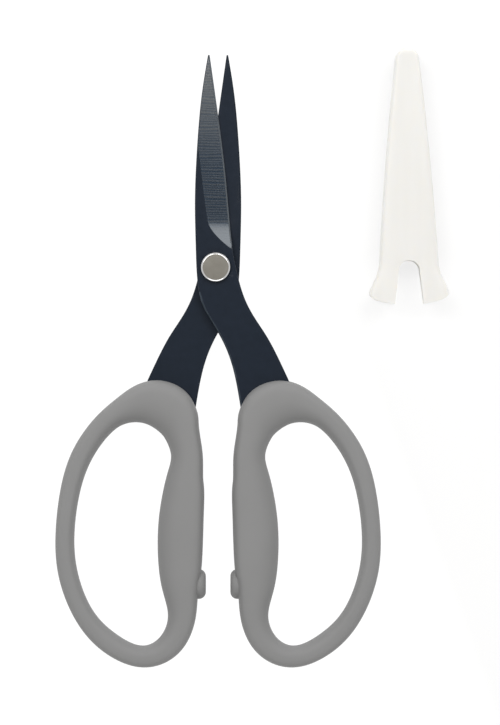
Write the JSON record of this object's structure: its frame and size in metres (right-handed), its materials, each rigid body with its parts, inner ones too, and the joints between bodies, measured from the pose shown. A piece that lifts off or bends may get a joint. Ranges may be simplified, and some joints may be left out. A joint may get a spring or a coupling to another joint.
{
  "type": "needlework scissors",
  "caption": "Slim pointed thread snips with coated crossing blades on a flat pivot, grey moulded ring handles with stop bumpers, and a white slip-on blade cover lying beside them.",
  "frame": {"origin": "centre of the pivot's front face, on the axis the two halves turn about", "axes": "+Z out of the front face along the pivot, +Y towards the blade tips, +X towards the right handle's side"},
  "size_m": [0.0981, 0.154, 0.0105],
  "materials": {
    "coated_steel": "dark non-stick coating over ground stainless steel",
    "nickel_plate": "turned and nickel plated",
    "grey_moulding": "soft matte grey moulding",
    "grey_rubber": "matte rubber",
    "white_polythene": "satin off-white moulding"
  },
  "bodies": {
    "front_half": {"front_blade": "coated_steel", "right_handle": "grey_moulding", "right_bumper": "grey_rubber", "pivot_post": "nickel_plate", "pivot_screw": "nickel_plate", "pivot_washer": "nickel_plate"},
    "rear_half": {"rear_blade": "coated_steel", "left_handle": "grey_moulding", "left_bumper": "grey_rubber"},
    "cover": {"blade_cover": "white_polythene"}
  },
  "joints": [
    {"name": "blade_pivot", "type": "hinge", "parent": "front_half", "child": "rear_half", "pos_m": [0, 0, 0], "axis": [0, 0, -1], "range_deg": [-4.2, 44]},
    {"name": "cover_lift", "type": "slide", "parent": "front_half", "child": "cover", "axis": [0, 0, 1], "range_m": [0, 0.03]}
  ]
}
